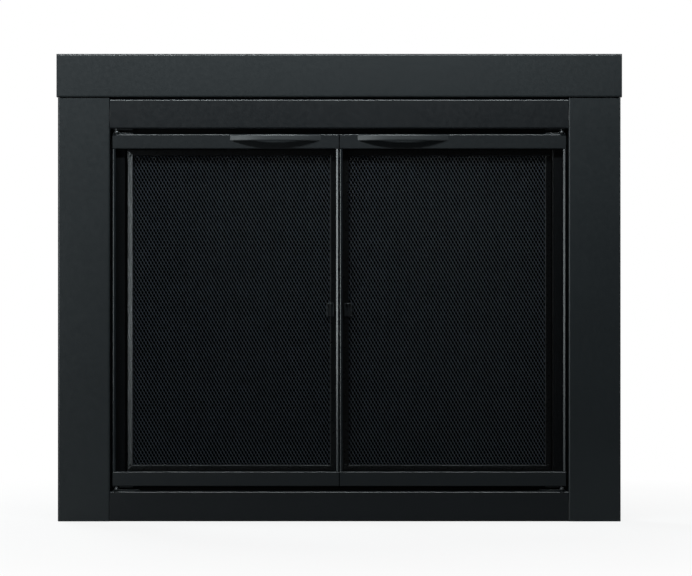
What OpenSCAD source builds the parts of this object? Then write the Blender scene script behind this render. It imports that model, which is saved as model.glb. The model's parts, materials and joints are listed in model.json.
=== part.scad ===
// Cabinet-style fireplace glass door: a black sheet-metal surround with a pair of
// pivot-hung glass doors and, behind them, a pair of framed woven-mesh doors.
// Millimetres. X is to the right, -Y faces the room, +Z is up. The origin is on the
// hearth, at the middle of the width, half-way through the side panels' depth.

/* [Surround] */
// Height from the hearth to the top of the header
surround_h = 788; // [700:1:900]
// Width over the two side panels
surround_w = 949; // [860:1:1100]
// Depth of the side panels, from their face to the wall
surround_d = 44; // [40:1:60]
// Width of a side panel
side_w = 88; // [70:1:120]
// Height of the header panel
header_h = 73; // [50:1:110]
// How far the header stands in front of the side panels
header_proud = 4; // [0:0.5:8]
// How far the header reaches past each side panel
header_over = 1.75; // [1.7:0.05:6]
// Height of the inner header, under the header panel
inner_header_h = 50; // [40:1:90]
// Shadow gap between the header panel and the inner header
shadow_gap = 3; // [1:0.5:8]
// Height of the bottom panel
bottom_h = 50.8; // [40:0.1:90]
// Thickness of the panel sheet
sheet = 1.6; // [1:0.1:2.4]
// Outer radius of the panels' rolled front edges
edge_r = 3; // [2.5:0.1:5]
// Depth of the returns round the opening
return_d = 20.5; // [20:0.5:24]
// Width of the fastening lips behind the returns
lip = 15; // [12:0.5:22]
// Width of the lips that lie on the wall
wall_lip = 12; // [6:1:20]
// Depth of the bottom panel's foot along the hearth
foot_d = 34; // [26:1:36]

/* [Glass doors] */
// Gap between a glass door and the side panel
side_gap = 4.25; // [3.5:0.05:8]
// Gap between the two glass doors
meeting_gap = 1.6; // [1.4:0.1:6]
// Gap over the glass doors
top_gap = 8.9; // [8:0.1:14]
// Gap under the glass doors
bottom_gap = 8.1; // [7.5:0.1:14]
// How far the doors' faces lie behind the side panels' faces
door_recess = 3; // [2:0.5:4]
// Depth of a glass door's rails and stiles
door_d = 14; // [13:0.5:15]
// Height of a top or bottom rail
rail_h = 25; // [22:0.5:36]
// Face width of a stile
stile_w = 4.5; // [4.2:0.1:8]
// Radius of a stile's front edges
stile_r = 2; // [0.5:0.1:2]
// Wall of the rails
rail_wall = 1.5; // [1:0.1:2]
// Thickness of the folded hem in front of the glass
hem = 3; // [2.2:0.1:3.4]
// Radius of the rails' front edges
rail_r = 2; // [1:0.1:2.2]
// Thickness of the tempered glass
glass_t = 4; // [3:0.5:5]
// Thickness of the gasket tape in front of the glass
gasket_t = 2.2; // [1:0.1:2.4]
// How far the glass goes into a stile
glass_bite = 2.5; // [2:0.1:2.8]
// How far the glass goes into a rail
rail_bite = 13; // [8:0.5:14]

/* [Handles] */
// Width of a handle
handle_w = 152.6; // [120:0.1:170]
// Height of the handle strip
handle_h = 10.4; // [9:0.1:14]
// How far a handle's upper edge lies below the door's
handle_drop = 1.2; // [0:0.1:3]
// How far a handle's middle stands off the rail
handle_bow = 17; // [13:0.5:22]
// Thickness of the handle strip
handle_t = 3; // [2.5:0.1:4]
// Distance of a handle's middle from the middle of the surround
handle_x = 107.5; // [90:0.5:160]
// Distance of the handle screws from the handle's middle
handle_screw_x = 60; // [45:1:64]
// Radius of the handle screws
handle_screw_r = 1.65; // [1.2:0.05:2]

/* [Hinges] */
// Distance of a glass door's pivot from its outer edge
pivot_in = 6.45; // [6:0.05:7]
// Distance of a glass door's pivot behind its face
pivot_back = 6; // [5:0.1:6.5]
// Radius of the hinge pins
pin_r = 2.5; // [1.5:0.1:3]
// Radius of the domed spacers on the hinge pins
ball_r = 4.2; // [3.6:0.05:4.4]
// Height of the domed spacers
ball_h = 6.3; // [5:0.1:7]
// Thickness of the hinge straps and leaves
strap_t = 2.2; // [1.2:0.1:2.6]
// Length of a hinge strap past its pivot
strap_l = 27; // [16:1:60]
// How much further the lower straps reach
strap_more = 11; // [0:1:30]

/* [Inner frame] */
// How far the inner frame shows beside the opening
show_side = 24; // [18:0.5:40]
// How far the inner frame shows under the inner header
show_top = 31.4; // [24:0.1:44]
// How far the inner frame shows over the bottom panel
show_bottom = 30; // [24:0.5:44]
// Thickness of the inner frame's angle
angle_t = 1.6; // [1:0.1:2.2]
// Radius of the panel screws
screw_r = 2; // [1.5:0.1:2.5]

/* [Mesh doors] */
// Gap round the mesh doors
mesh_gap = 2.7; // [2.5:0.1:4]
// Gap between the two mesh doors
mesh_meeting = 3; // [2:0.1:6]
// Depth of the mesh door frames
mesh_d = 8; // [7:0.5:9]
// Distance of the mesh doors behind the inner frame's face
mesh_back = 6.5; // [6:0.5:8]
// Face width of a mesh door's outer stile
mesh_stile = 10.5; // [9:0.5:14]
// Face width of a mesh door's meeting stile
mesh_meet_stile = 14.3; // [12:0.1:18]
// Face height of a mesh door's rails
mesh_rail = 10; // [9:0.5:14]
// Distance of a mesh door's pivot from its outer edge
mesh_pivot_in = 4; // [3.6:0.1:4.4]
// Radius of the mesh doors' pins
mesh_pin_r = 1.5; // [1:0.1:1.6]
// Thickness of the mesh
net_t = 1.6; // [1.2:0.1:2]
// Width of a strand of the mesh
strand = 3; // [1.5:0.1:5]
// Diamonds across a mesh door
net_cols = 8; // [4:1:8]
// Half rows of diamonds up a mesh door
net_rows = 16; // [6:2:16]
// Height of a mesh door's pull above the hearth
pull_z = 357; // [300:1:450]
// Width of a pull
pull_w = 13.4; // [8:0.1:14]
// Height of a pull
pull_h = 23; // [16:1:40]
// How far a pull stands off the mesh door
pull_d = 7; // [4:0.5:8]

/* [Mounting] */
// Distance of the brackets from the sides of the inner frame
bracket_in = 112.5; // [62.5:0.5:242.5]
// Width of the brackets
bracket_w = 40; // [40:1:60]
// Thickness of the brackets
bracket_t = 2.5; // [2:0.1:4]
// How far the brackets reach behind the middle of the surround's depth
bracket_d = 60; // [58:1:90]
// Distance of the bracket holes behind the middle of the surround's depth
bracket_hole_y = 42; // [41.5:0.5:42.5]
// Radius of the hearth bolt holes
bolt_hole_r = 3.5; // [2.5:0.1:5]
// Radius of the lintel jack screws
jack_r = 4; // [3:0.1:5]
// Travel of the lintel jacks
jack_travel = 20; // [8:1:24]
// Height of a lintel bracket's shelf over the inner frame
shelf_rise = 34; // [30:1:60]

/* [Hidden] */
$fn = 48;

// Clearances
pin_fit = 0.05;
slip = 0.2;
body_gap = 0.3;

// Finishes
satin_black = [0.17, 0.18, 0.19];
frame_black = [0.10, 0.10, 0.11];
bright_steel = [0.72, 0.72, 0.74];
glass_tint = [0.62, 0.70, 0.72, 0.35];

// Planes and levels of the surround
front_y = -surround_d / 2;
wall_y = surround_d / 2;
header_y = front_y - header_proud;
half_w = surround_w / 2;
header_half_w = half_w + header_over;
opening_x = half_w - side_w;
header_z = surround_h - header_h;
side_top_gap = 1;
side_top_z = header_z - side_top_gap;
inner_header_z1 = header_z - shadow_gap;
opening_z1 = inner_header_z1 - inner_header_h;
opening_z0 = bottom_h;
seat_y = front_y + return_d;

// Glass doors, right-hand one
door_y = front_y + door_recess;
door_back_y = door_y + door_d;
door_x0 = meeting_gap / 2;
door_x1 = opening_x - side_gap;
door_z0 = opening_z0 + bottom_gap;
door_z1 = opening_z1 - top_gap;
gasket_y = door_y + hem;
glass_y = gasket_y + gasket_t;
groove_y1 = glass_y + glass_t + slip;
groove_gap = 0.5;
groove_wall = stile_w - glass_bite - groove_gap;
glass_x0 = door_x0 + stile_w - glass_bite;
glass_x1 = door_x1 - stile_w + glass_bite;
glass_z0 = door_z0 + rail_h - rail_bite;
glass_z1 = door_z1 - rail_h + rail_bite;
pivot_x = door_x1 - pivot_in;
pivot_y = door_y + pivot_back;
rail_edge = rail_wall + 1;

// Handles: the strip is a shallow arc
handle_R = handle_w * handle_w / (8 * handle_bow) + handle_bow / 2;
handle_cy = door_y - handle_bow + handle_R;
handle_z0 = door_z1 - handle_drop - handle_h;
handle_screw_z = handle_z0 + handle_h / 2;
post_r = 4.2;
post_in = 1;
handle_post_y = handle_cy - sqrt(pow(handle_R, 2) - pow(handle_screw_x, 2));
handle_head_r = min(
    3,
    door_z1 - rail_edge - slip - handle_screw_z,
    handle_screw_z - glass_z1 - slip
);

// Inner frame and mesh doors
throat_x = opening_x - show_side;
throat_z0 = opening_z0 + show_bottom;
throat_z1 = opening_z1 - show_top;
mesh_x0 = mesh_meeting / 2;
mesh_x1 = throat_x - mesh_gap;
mesh_z0 = throat_z0 + mesh_gap;
mesh_z1 = throat_z1 - mesh_gap;
mesh_y0 = seat_y + mesh_back;
mesh_y1 = mesh_y0 + mesh_d;
view_x0 = mesh_x0 + mesh_meet_stile;
view_x1 = mesh_x1 - mesh_stile;
view_z0 = mesh_z0 + mesh_rail;
view_z1 = mesh_z1 - mesh_rail;
mesh_pivot_x = mesh_x1 - mesh_pivot_in;
mesh_pivot_back = 3;
mesh_pivot_y = mesh_y0 + mesh_pivot_back;
net_y0 = mesh_y0 + mesh_d / 2 - net_t / 2;
net_bite = 4;
mesh_pin_bite = 5;
rivet_r = 1.2;
rivet_head_r = 1.8;
rivet_out = 5.25;
pull_in = 0.8;
pull_x = view_x0 - pull_in;

// Rolled channels ---------------------------------------------------------------

// A quarter ring, one bend of the sheet; turn picks its quadrant
module bend(u, v, turn) {
    translate([u, v])
        intersection() {
            difference() {
                circle(r = edge_r);
                circle(r = edge_r - sheet);
            }
            rotate(turn) square(edge_r);
        }
}

// Section of a channel w wide: u runs across its face, v back from it. Its outer
// return is outer_d deep with a lip of outer_lip, and its inner return inner_d deep.
module channel(w, outer_d, inner_d, outer_lip) {
    translate([edge_r, 0]) square([w - 2 * edge_r, sheet]);
    bend(edge_r, edge_r, 180);
    bend(w - edge_r, edge_r, 270);
    translate([0, edge_r]) square([sheet, outer_d - edge_r]);
    translate([w - sheet, edge_r]) square([sheet, inner_d - edge_r]);
    translate([w - lip, inner_d - sheet]) square([lip, sheet]);
    if (outer_lip > 0)
        translate([0, outer_d - sheet]) square([outer_lip, sheet]);
}

// Outline of a channel's closed end
module channel_end(w, d) {
    translate([edge_r, 0]) square([w - 2 * edge_r, edge_r]);
    translate([0, edge_r]) square([w, d - edge_r]);
    translate([edge_r, edge_r]) circle(r = edge_r);
    translate([w - edge_r, edge_r]) circle(r = edge_r);
}

// Extrusions of a section drawn in (Y, Z) along X, and of one drawn in (X, Z) along Y
module along_x(x0, x1) {
    translate([x0, 0, 0])
        rotate([90, 0, 90])
            linear_extrude(height = x1 - x0) children();
}

module along_y(y0, y1) {
    translate([0, y1, 0])
        rotate([90, 0, 0])
            linear_extrude(height = y1 - y0) children();
}

module rod_y(x, z, y0, y1, r) {
    translate([x, y0, z]) rotate([-90, 0, 0]) cylinder(h = y1 - y0, r = r);
}

module rod_z(x, y, z0, z1, r) {
    translate([x, y, z0]) cylinder(h = z1 - z0, r = r);
}

module box(x0, x1, y0, y1, z0, z1) {
    translate([x0, y0, z0]) cube([x1 - x0, y1 - y0, z1 - z0]);
}

module left() {
    mirror([1, 0, 0]) children();
}

// Places of the panel screws, as [x, z] --------------------------------------------

side_screw_x = opening_x + lip / 2;
side_screws = [for (i = [0:3]) [side_screw_x, throat_z0 + (i + 0.5) * (throat_z1 - throat_z0) / 4]];
rail_screw_pitch = 240;
rail_screw_xs = [-rail_screw_pitch, 0, rail_screw_pitch];
low_screw_z = opening_z0 - lip / 2;
high_screw_z = opening_z1 + lip / 2;
tie_w = 60;
tie_inset = 8;
tie_t = 2;
tie_half_w = half_w - sheet - slip;
tie_z0 = inner_header_z1 - lip;
tie_z1 = header_z + lip;
tie_xs = [-(opening_x + lip - tie_w / 2), 0, opening_x + lip - tie_w / 2];
tie_screw_zs = [inner_header_z1 - lip / 2, header_z + lip / 2];
tie_screws = [
    for (x = tie_xs) for (d = [-1, 1]) for (z = tie_screw_zs) [x + d * (tie_w / 2 - tie_inset), z]
];
both_sides = [for (p = side_screws) for (s = [-1, 1]) [s * p[0], p[1]]];
frame_screw_places = concat(
    both_sides,
    [for (x = rail_screw_xs) for (z = [low_screw_z, high_screw_z]) [x, z]]
);
screw_head_r = 3.4;
screw_head_h = 2;
screw_shank = 9;

module screw_holes(places) {
    for (p = places)
        rod_y(p[0], p[1], seat_y - 2 * sheet, seat_y + 2 * angle_t + 1, screw_r + pin_fit);
}

// A pan-head screw driven from behind: y is the plane under its head
module panel_screw(x, z, y) {
    rod_y(x, z, y - screw_shank, y + screw_head_h, screw_r);
    rod_y(x, z, y, y + screw_head_h, screw_head_r);
}

// Surround ---------------------------------------------------------------------

module header_panel() {
    depth = wall_y - header_y;
    color(satin_black)
        difference() {
            union() {
                along_x(-header_half_w, header_half_w)
                    translate([header_y, surround_h])
                        rotate(-90) channel(header_h, depth, seat_y - header_y, wall_lip);
                for (x = [-header_half_w, header_half_w - sheet])
                    along_x(x, x + sheet)
                        translate([header_y, surround_h])
                            rotate(-90) channel_end(header_h, depth);
            }
            screw_holes(tie_screws);
        }
}

module right_side_panel() {
    color(satin_black)
        difference() {
            translate([half_w, front_y, 0])
                mirror([1, 0, 0])
                    linear_extrude(height = side_top_z)
                        channel(side_w, surround_d, return_d, wall_lip);
            screw_holes(concat(side_screws, tie_screws));
        }
}

module left_side_panel() {
    left() right_side_panel();
}

module inner_header() {
    color(satin_black)
        difference() {
            along_x(-opening_x, opening_x)
                translate([front_y, inner_header_z1])
                    rotate(-90) channel(inner_header_h, return_d, return_d, lip);
            screw_holes(concat(frame_screw_places, tie_screws));
            pivot_holes(opening_z1 - 1, opening_z1 + sheet + 1);
        }
}

module bottom_panel() {
    color(satin_black)
        difference() {
            along_x(-opening_x, opening_x)
                translate([front_y, 0])
                    mirror([1, -1]) channel(bottom_h, foot_d, return_d, 0);
            screw_holes(frame_screw_places);
            pivot_holes(opening_z0 - sheet - 1, opening_z0 + 1);
            spacer_notch(ball_zs[0]);
        }
}

module header_tie_plate() {
    color(frame_black)
        difference() {
            box(-tie_half_w, tie_half_w, seat_y, seat_y + tie_t, tie_z0, tie_z1);
            screw_holes(tie_screws);
        }
}

module frame_screws() {
    color(bright_steel) {
        for (p = frame_screw_places)
            panel_screw(p[0], p[1], seat_y + angle_t);
        for (p = tie_screws)
            panel_screw(p[0], p[1], seat_y + tie_t);
    }
}

// Inner frame: four angles, a flange on the panels' lips and a leg round the throat ---

module inner_frame_rail(z_throat, z_flange) {
    z0 = min(z_throat, z_flange);
    z1 = max(z_throat, z_flange);
    leg_z = z_flange > z_throat ? z_throat : z_throat - angle_t;
    along_x(-throat_x, throat_x) {
        translate([seat_y, z0]) square([angle_t, z1 - z0]);
        translate([seat_y, leg_z]) square([wall_y - seat_y, angle_t]);
    }
}

module inner_frame_top() {
    color(frame_black)
        difference() {
            inner_frame_rail(throat_z1, opening_z1 + lip);
            screw_holes(frame_screw_places);
            for (s = [-1, 1])
                box(
                    s * magnet_x - magnet_w / 2 - slip, s * magnet_x + magnet_w / 2 + slip,
                    seat_y - 1, seat_y + angle_t + 1,
                    throat_z1 + angle_t, throat_z1 + angle_t + magnet_h + slip
                );
            mesh_pin_holes(throat_z1 - 1, throat_z1 + angle_t + 1);
        }
}

module inner_frame_bottom() {
    color(frame_black)
        difference() {
            inner_frame_rail(throat_z0, opening_z0 - lip);
            screw_holes(frame_screw_places);
            mesh_pin_holes(throat_z0 - angle_t - 1, throat_z0 + 1);
        }
}

module inner_frame_right() {
    z0 = opening_z0 - lip;
    z1 = opening_z1 + lip;
    color(frame_black)
        difference() {
            union() {
                box(throat_x, opening_x + lip, seat_y, seat_y + angle_t, z0, z1);
                box(throat_x, throat_x + angle_t, seat_y, wall_y, z0, z1);
            }
            screw_holes(frame_screw_places);
        }
}

module inner_frame_left() {
    left() inner_frame_right();
}

// Magnetic catches: one pair holds the glass doors, the other the mesh doors
magnet_x = 30;
magnet_w = 20;
magnet_h = 12;
magnet_d = 14;

module glass_door_magnets() {
    z = throat_z1 + angle_t;
    color(bright_steel)
        for (s = [-1, 1])
            box(
                s * magnet_x - magnet_w / 2, s * magnet_x + magnet_w / 2,
                door_back_y + body_gap, door_back_y + body_gap + magnet_d,
                z, z + magnet_h
            );
}

module mesh_door_magnets() {
    color(bright_steel)
        for (s = [-1, 1])
            box(
                s * magnet_x - magnet_w / 2, s * magnet_x + magnet_w / 2,
                mesh_y1 + body_gap, wall_y,
                throat_z1 - magnet_h, throat_z1
            );
}

// Hinges of the glass doors -----------------------------------------------------

pin_head_r = 4.5;
pin_head_h = 2;
pin_bite = 8;
strap_front = 1.5;
strap_inset = 1;
ball_zs = [opening_z0 + ball_h / 2, door_z1 + 2 * pin_fit + ball_h / 2];
notch_r = ball_r + 2;

module pivot_holes(z0, z1) {
    for (s = [-1, 1])
        rod_z(s * pivot_x, pivot_y, z0, z1, pin_r + pin_fit);
}

// Room round the domed spacers in the face in front of them
module spacer_notch(z) {
    back = pivot_y - ball_r;
    for (s = [-1, 1])
        rod_y(s * pivot_x, z, front_y - 1, back, notch_r);
}

// A flat strap behind the right-hand pivot, l long past it and notched round the spacer
// with radius hole_r
module strap(z0, hole_r, l) {
    difference() {
        box(
            pivot_x - l, pivot_x + pivot_in - strap_inset,
            pivot_y - strap_front, door_back_y - strap_inset,
            z0, z0 + strap_t
        );
        rod_z(pivot_x, pivot_y, z0 - 1, z0 + strap_t + 1, hole_r);
    }
}

module right_top_hinge_strap() {
    color(satin_black) strap(opening_z1 - strap_t, pin_r + pin_fit, strap_l);
}

module right_bottom_hinge_strap() {
    color(satin_black) strap(opening_z0, ball_r + pin_fit, strap_l + strap_more);
}

module left_top_hinge_strap() {
    left() right_top_hinge_strap();
}

module left_bottom_hinge_strap() {
    left() right_bottom_hinge_strap();
}

module right_hinge_leaves() {
    color(satin_black) {
        strap(door_z0 - strap_t, ball_r + body_gap, strap_l);
        strap(door_z1, ball_r + body_gap, strap_l);
    }
}

module left_hinge_leaves() {
    left() right_hinge_leaves();
}

module hinge_pins() {
    low_z = opening_z0 - sheet;
    high_z = opening_z1 + sheet;
    color(bright_steel)
        for (s = [-1, 1]) {
            rod_z(s * pivot_x, pivot_y, low_z - pin_head_h, door_z0 + pin_bite, pin_r);
            rod_z(s * pivot_x, pivot_y, low_z - pin_head_h, low_z, pin_head_r);
            rod_z(s * pivot_x, pivot_y, door_z1 - pin_bite, high_z + pin_head_h, pin_r);
            rod_z(s * pivot_x, pivot_y, high_z, high_z + pin_head_h, pin_head_r);
        }
}

module hinge_balls() {
    color(bright_steel)
        for (s = [-1, 1])
            for (z = ball_zs)
                difference() {
                    translate([s * pivot_x, pivot_y, z])
                        intersection() {
                            sphere(r = ball_r);
                            cube([2 * ball_r, 2 * ball_r, ball_h], center = true);
                        }
                    rod_z(s * pivot_x, pivot_y, z - ball_r, z + ball_r, pin_r + pin_fit);
                }
}

// Glass doors, drawn on the right ---------------------------------------------------

// Section of a rail, v from its outer edge towards the glass
module rail_section() {
    difference() {
        union() {
            translate([rail_r, 0]) square([door_d - rail_r, rail_h]);
            translate([0, rail_r]) square([rail_r, rail_h - 2 * rail_r]);
            translate([rail_r, rail_r]) circle(r = rail_r);
            translate([rail_r, rail_h - rail_r]) circle(r = rail_r);
        }
        translate([rail_wall, rail_edge])
            square([door_d - 2 * rail_wall, rail_h - rail_edge - hem]);
        translate([hem, rail_h - hem - 1])
            square([groove_y1 - gasket_y, hem + 2]);
    }
}

module right_bottom_rail() {
    color(satin_black)
        difference() {
            along_x(door_x0, door_x1)
                translate([door_y, door_z0]) rail_section();
            pivot_holes(door_z0 - 1, door_z0 + pin_bite + 1);
        }
}

module right_top_rail() {
    color(satin_black)
        difference() {
            along_x(door_x0, door_x1)
                translate([door_y, door_z1]) mirror([0, 1]) rail_section();
            pivot_holes(door_z1 - pin_bite - 1, door_z1 + 1);
            spacer_notch(ball_zs[1]);
            box(
                pivot_x, door_x1 + 1, front_y, pivot_y - ball_r,
                ball_zs[1] - notch_r, door_z1 + 1
            );
            for (s = [-1, 1]) {
                x = handle_x + s * handle_screw_x;
                rod_y(x, handle_screw_z, door_y - 1, door_y + hem, handle_screw_r + slip);
                rod_y(x, handle_screw_z, door_back_y - hem, door_back_y + 1, post_r);
            }
        }
}

// A stile: x0 is its outer face and dir points from there towards the glass
module stile(x0, dir) {
    r = stile_r;
    z0 = door_z0 + rail_h;
    z1 = door_z1 - rail_h;
    translate([x0, 0, z0])
        mirror([dir < 0 ? 1 : 0, 0, 0])
            linear_extrude(height = z1 - z0)
                difference() {
                    union() {
                        translate([0, door_y + r]) square([stile_w, door_d - r]);
                        translate([r, door_y]) square([stile_w - 2 * r, r]);
                        translate([r, door_y + r]) circle(r = r);
                        translate([stile_w - r, door_y + r]) circle(r = r);
                    }
                    translate([groove_wall, gasket_y])
                        square([stile_w, groove_y1 - gasket_y]);
                }
}

module right_outer_stile() {
    color(satin_black) stile(door_x1, -1);
}

module right_meeting_stile() {
    color(satin_black) stile(door_x0, 1);
}

module right_glass() {
    color(glass_tint)
        box(glass_x0, glass_x1, glass_y, glass_y + glass_t, glass_z0, glass_z1);
}

module right_glass_gasket() {
    hidden = 0.2;
    side_strip = glass_bite - hidden;
    rail_strip = rail_bite - hidden;
    color(frame_black)
        difference() {
            box(glass_x0, glass_x1, gasket_y, glass_y, glass_z0, glass_z1);
            box(
                glass_x0 + side_strip, glass_x1 - side_strip, gasket_y - 1, glass_y + 1,
                glass_z0 + rail_strip, glass_z1 - rail_strip
            );
        }
}

// The bowed strip with a screw post behind each end
module right_handle() {
    color(satin_black)
        translate([handle_x, 0, 0])
            difference() {
                union() {
                    translate([0, 0, handle_z0])
                        linear_extrude(height = handle_h)
                            intersection() {
                                translate([0, handle_cy])
                                    difference() {
                                        circle(r = handle_R, $fn = 720);
                                        circle(r = handle_R - handle_t, $fn = 720);
                                    }
                                translate([-handle_w, door_y - 2 * handle_bow])
                                    square([2 * handle_w, 2 * handle_bow]);
                            }
                    for (s = [-1, 1])
                        rod_y(
                            s * handle_screw_x, handle_screw_z,
                            handle_post_y + post_in, door_y, post_r
                        );
                }
                for (s = [-1, 1])
                    rod_y(
                        s * handle_screw_x, handle_screw_z,
                        handle_post_y + post_in, door_y + 1, handle_screw_r + pin_fit
                    );
            }
}

module right_handle_screws() {
    inside_y = door_y + rail_wall;
    tip = 0.2;
    color(bright_steel)
        for (s = [-1, 1]) {
            x = handle_x + s * handle_screw_x;
            rod_y(
                x, handle_screw_z,
                handle_post_y + post_in + tip, inside_y + screw_head_h, handle_screw_r
            );
            rod_y(x, handle_screw_z, inside_y, inside_y + screw_head_h, handle_head_r);
        }
}

module left_glass() {
    left() right_glass();
}

module left_top_rail() {
    left() right_top_rail();
}

module left_bottom_rail() {
    left() right_bottom_rail();
}

module left_outer_stile() {
    left() right_outer_stile();
}

module left_meeting_stile() {
    left() right_meeting_stile();
}

module left_handle() {
    left() right_handle();
}

module left_handle_screws() {
    left() right_handle_screws();
}

module left_glass_gasket() {
    left() right_glass_gasket();
}

// Mesh doors, drawn on the right ------------------------------------------------------

module mesh_pin_holes(z0, z1) {
    for (s = [-1, 1])
        rod_z(s * mesh_pivot_x, mesh_pivot_y, z0, z1, mesh_pin_r + pin_fit);
}

rivet_xs = [view_x0 - rivet_out, view_x1 + rivet_out];
rivet_zs = [view_z0, view_z1];

// A mitred member from its outline in (X, Z), grooved for the mesh and drilled
module mesh_member(outline) {
    color(frame_black)
        difference() {
            along_y(mesh_y0, mesh_y1) polygon(outline);
            box(
                view_x0 - net_bite - slip, view_x1 + net_bite + slip,
                net_y0 - slip, net_y0 + net_t + slip,
                view_z0 - net_bite - slip, view_z1 + net_bite + slip
            );
            mesh_pin_holes(mesh_z0 - 1, mesh_z0 + mesh_pin_bite + slip);
            mesh_pin_holes(mesh_z1 - mesh_pin_bite - slip, mesh_z1 + 1);
            for (x = rivet_xs) for (z = rivet_zs)
                rod_y(x, z, mesh_y0 - 1, mesh_y1 + 1, rivet_r + pin_fit);
        }
}

module right_mesh_top_rail() {
    mesh_member([[mesh_x0, mesh_z1], [mesh_x1, mesh_z1], [view_x1, view_z1], [view_x0, view_z1]]);
}

module right_mesh_bottom_rail() {
    mesh_member([[mesh_x0, mesh_z0], [mesh_x1, mesh_z0], [view_x1, view_z0], [view_x0, view_z0]]);
}

module right_mesh_outer_stile() {
    mesh_member([[mesh_x1, mesh_z0], [mesh_x1, mesh_z1], [view_x1, view_z1], [view_x1, view_z0]]);
}

module right_mesh_meeting_stile() {
    mesh_member([[mesh_x0, mesh_z0], [mesh_x0, mesh_z1], [view_x0, view_z1], [view_x0, view_z0]]);
}

// The mesh as a flat sheet of staggered diamonds. A diamond on the edge of the view
// is cut in half, and the four corners stay closed.
module right_mesh() {
    pitch_x = (view_x1 - view_x0) / net_cols;
    pitch_z = 2 * (view_z1 - view_z0) / net_rows;
    side_len = sqrt(pow(pitch_x / 2, 2) + pow(pitch_z / 2, 2));
    opening = 1 - strand * side_len / (pitch_x * pitch_z / 2);
    u = opening * pitch_x / 2;
    v = opening * pitch_z / 2;
    color(frame_black)
        along_y(net_y0, net_y0 + net_t)
            difference() {
                translate([view_x0 - net_bite, view_z0 - net_bite])
                    square([view_x1 - view_x0 + 2 * net_bite, view_z1 - view_z0 + 2 * net_bite]);
                for (k = [0:net_rows])
                    for (i = [0:net_cols - k % 2]) {
                        x = view_x0 + (i + (k % 2) / 2) * pitch_x;
                        z = view_z0 + k * pitch_z / 2;
                        on_x = k % 2 == 0 && (i == 0 || i == net_cols);
                        on_z = k == 0 || k == net_rows;
                        if (!(on_x && on_z))
                            polygon([
                                if (!(on_x && i == 0)) [x - u, z],
                                if (!(on_z && k == 0)) [x, z - v],
                                if (!(on_x && i == net_cols)) [x + u, z],
                                if (!(on_z && k == net_rows)) [x, z + v]
                            ]);
                    }
            }
}

// A ribbed pull: two round-topped pockets side by side, open in front and below. It
// overlaps the stile and reaches past it over the mesh.
module right_mesh_pull() {
    plate_t = 1.5;
    rib = 2.2;
    pocket_w = (pull_w - 3 * rib) / 2;
    z0 = pull_z - pull_h / 2;
    front = mesh_y0 - pull_d;
    color(satin_black)
        difference() {
            along_y(front, mesh_y0) pull_arches(z0, pocket_w + 2 * rib, pocket_w + rib);
            along_y(front - 1, mesh_y0 - plate_t)
                translate([0, -rib]) pull_arches(z0, pocket_w, pocket_w + rib);
        }
}

// Outline of two arches w wide, their middles apart by pitch
module pull_arches(z0, w, pitch) {
    for (s = [-1, 1])
        translate([pull_x + s * pitch / 2, z0]) {
            translate([-w / 2, 0]) square([w, pull_h - w / 2]);
            translate([0, pull_h - w / 2]) circle(r = w / 2);
        }
}

module right_mesh_rivets() {
    head_h = 0.8;
    color(bright_steel)
        for (x = rivet_xs) for (z = rivet_zs) {
            rod_y(x, z, mesh_y0 - head_h, mesh_y1 + head_h, rivet_r);
            rod_y(x, z, mesh_y0 - head_h, mesh_y0, rivet_head_r);
            rod_y(x, z, mesh_y1, mesh_y1 + head_h, rivet_head_r);
        }
}

module mesh_door_pins() {
    collar_r = 2.8;
    collar_h = mesh_gap - body_gap;
    head_r = 3;
    head_h = 1.5;
    low_z = throat_z0 - angle_t;
    high_z = throat_z1 + angle_t;
    color(bright_steel)
        for (s = [-1, 1]) {
            x = s * mesh_pivot_x;
            rod_z(x, mesh_pivot_y, low_z - head_h, mesh_z0 + mesh_pin_bite, mesh_pin_r);
            rod_z(x, mesh_pivot_y, low_z - head_h, low_z, head_r);
            rod_z(x, mesh_pivot_y, throat_z0, throat_z0 + collar_h, collar_r);
            rod_z(x, mesh_pivot_y, mesh_z1 - mesh_pin_bite, high_z + head_h, mesh_pin_r);
            rod_z(x, mesh_pivot_y, high_z, high_z + head_h, head_r);
            rod_z(x, mesh_pivot_y, throat_z1 - collar_h, throat_z1, collar_r);
        }
}

module left_mesh() {
    left() right_mesh();
}

module left_mesh_top_rail() {
    left() right_mesh_top_rail();
}

module left_mesh_bottom_rail() {
    left() right_mesh_bottom_rail();
}

module left_mesh_outer_stile() {
    left() right_mesh_outer_stile();
}

module left_mesh_meeting_stile() {
    left() right_mesh_meeting_stile();
}

module left_mesh_pull() {
    left() right_mesh_pull();
}

module left_mesh_rivets() {
    left() right_mesh_rivets();
}

// Mounting hardware, drawn on the right --------------------------------------------------

bracket_x = throat_x - bracket_in;
bracket_x0 = bracket_x - bracket_w / 2;
bracket_x1 = bracket_x + bracket_w / 2;
shelf_z = throat_z1 + angle_t + shelf_rise;
leg_gap = 3;

module right_hearth_bracket() {
    leg_y = front_y + foot_d + leg_gap;
    top_z = throat_z0 - angle_t;
    color(frame_black)
        difference() {
            union() {
                box(bracket_x0, bracket_x1, seat_y + angle_t, leg_y + bracket_t,
                    top_z - bracket_t, top_z);
                box(bracket_x0, bracket_x1, leg_y, leg_y + bracket_t, 0, top_z);
                box(bracket_x0, bracket_x1, leg_y, bracket_d, 0, bracket_t);
            }
            rod_z(bracket_x, bracket_hole_y, -1, bracket_t + 1, bolt_hole_r);
        }
}

module left_hearth_bracket() {
    left() right_hearth_bracket();
}

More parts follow.
